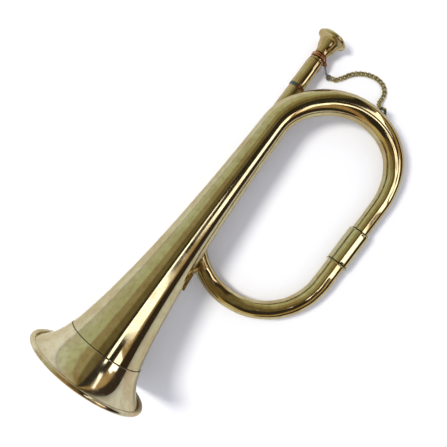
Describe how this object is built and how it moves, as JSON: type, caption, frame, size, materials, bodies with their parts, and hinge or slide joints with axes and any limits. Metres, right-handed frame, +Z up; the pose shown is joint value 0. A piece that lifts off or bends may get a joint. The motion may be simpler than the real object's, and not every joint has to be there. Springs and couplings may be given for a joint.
{
  "type": "bugle",
  "caption": "Valveless brass bugle: long conical bell with rolled rim, one folded loop of tube, and a loose cup mouthpiece kept by a short chain.",
  "frame": {"origin": "middle of the base, on the surface that the instrument lies on", "axes": "+X out of the bell mouth, +Y from the bell towards the outer leg, +Z up from the surface"},
  "size_m": [0.3614, 0.1839, 0.1095],
  "materials": {
    "bell_brass": "polished",
    "garland_brass": "polished",
    "rim_wire_steel": "drawn wire",
    "bow_brass": "polished",
    "ferrule_brass": "polished",
    "pipe_brass": "polished",
    "joint_grey": "dull grey",
    "brace_brass": "polished",
    "staple_steel": "dark",
    "chain_brass": "satin",
    "coil_copper": "tarnished copper",
    "link_steel": "plain wire",
    "mouthpiece_brass": "polished"
  },
  "bodies": {
    "bugle": {"bell_body": "bell_brass", "bell_garland": "garland_brass", "rim_wire": "rim_wire_steel", "top_bow": "bow_brass", "lower_bow": "bow_brass", "coupling_ferrule": "ferrule_brass", "ferrule_collar": "ferrule_brass", "leadpipe_ferrule": "ferrule_brass", "leadpipe": "pipe_brass", "joint_ring": "joint_grey", "mouthpiece_receiver": "pipe_brass", "lower_brace_bell_saddle": "brace_brass", "lower_brace_rod": "brace_brass", "lower_brace_bow_saddle": "brace_brass", "upper_brace_bell_saddle": "brace_brass", "upper_brace_post": "brace_brass", "upper_brace_pipe_saddle": "brace_brass", "chain_staple": "staple_steel", "tether_chain": "chain_brass"},
    "tether": {"tether_coil": "coil_copper", "tether_link": "link_steel"},
    "mouthpiece": {"mouthpiece": "mouthpiece_brass"}
  },
  "joints": [
    {"name": "mouthpiece_pull", "type": "slide", "parent": "bugle", "child": "tether", "axis": [-1, 0, 0], "range_m": [0, 0.03]},
    {"name": "mouthpiece_turn", "type": "hinge", "parent": "tether", "child": "mouthpiece", "pos_m": [-0.158, -0.042, 0.014], "axis": [1, 0, 0], "continuous": true}
  ]
}
